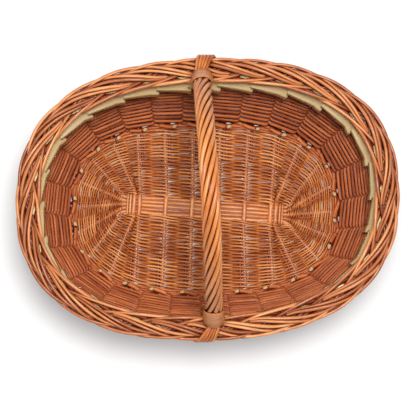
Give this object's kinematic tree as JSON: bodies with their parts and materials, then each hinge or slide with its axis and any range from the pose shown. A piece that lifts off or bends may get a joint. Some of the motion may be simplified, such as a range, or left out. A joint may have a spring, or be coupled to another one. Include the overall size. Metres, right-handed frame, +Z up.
{
  "type": "wicker shopping basket",
  "caption": "Oval woven willow shopping basket with flared sides, a plaited border and a fixed rope-twisted hoop handle across its width.",
  "frame": {"origin": "on the floor under the middle of the base", "axes": "+Z up, +X along the basket's length, +Y across it along the handle"},
  "size_m": [0.4478, 0.339, 0.3685],
  "materials": {
    "willow_bark": "satin buff bark",
    "willow_dark": "satin darker bark",
    "willow_peeled": "matte peeled wood",
    "willow_handle": "satin buff bark"
  },
  "bodies": {
    "root": {"base_weave": "willow_bark", "upsett_wale": "willow_dark", "siding": "willow_dark", "liner": "willow_peeled", "border": "willow_bark", "slath_binding_left": "willow_bark", "slath_binding_right": "willow_bark", "handle_core": "willow_bark", "handle_collar_far": "willow_handle", "handle_collar_near": "willow_handle", "handle_lashing_far": "willow_handle", "handle_lashing_near": "willow_handle", "handle_strand_1": "willow_handle", "handle_strand_2": "willow_handle", "handle_strand_3": "willow_handle", "handle_strand_4": "willow_handle", "handle_strand_5": "willow_handle", "handle_strand_6": "willow_handle", "handle_strand_7": "willow_handle", "handle_strand_8": "willow_handle", "base_stick_long_1": "willow_bark", "base_stick_long_2": "willow_bark", "base_stick_long_3": "willow_bark", "base_stick_long_4": "willow_bark", "base_stick_long_5": "willow_bark", "base_stick_cross_1": "willow_bark", "base_stick_cross_2": "willow_bark", "base_stick_cross_3": "willow_bark", "base_stick_cross_4": "willow_bark", "base_stick_cross_5": "willow_bark", "base_stick_cross_6": "willow_bark", "base_stick_cross_7": "willow_bark", "base_stick_cross_8": "willow_bark", "side_stake_1": "willow_bark", "side_stake_2": "willow_bark", "side_stake_3": "willow_bark", "side_stake_4": "willow_bark", "side_stake_5": "willow_bark", "side_stake_6": "willow_bark", "side_stake_7": "willow_bark", "side_stake_8": "willow_bark", "side_stake_9": "willow_bark", "side_stake_10": "willow_bark", "side_stake_11": "willow_bark", "side_stake_12": "willow_bark", "side_stake_13": "willow_bark", "side_stake_14": "willow_bark", "side_stake_15": "willow_bark", "side_stake_16": "willow_bark", "side_stake_17": "willow_bark", "side_stake_18": "willow_bark", "side_stake_19": "willow_bark", "side_stake_20": "willow_bark", "side_stake_21": "willow_bark", "side_stake_22": "willow_bark", "side_stake_23": "willow_bark", "side_stake_24": "willow_bark", "side_stake_25": "willow_bark", "side_stake_26": "willow_bark"}
  },
  "joints": []
}
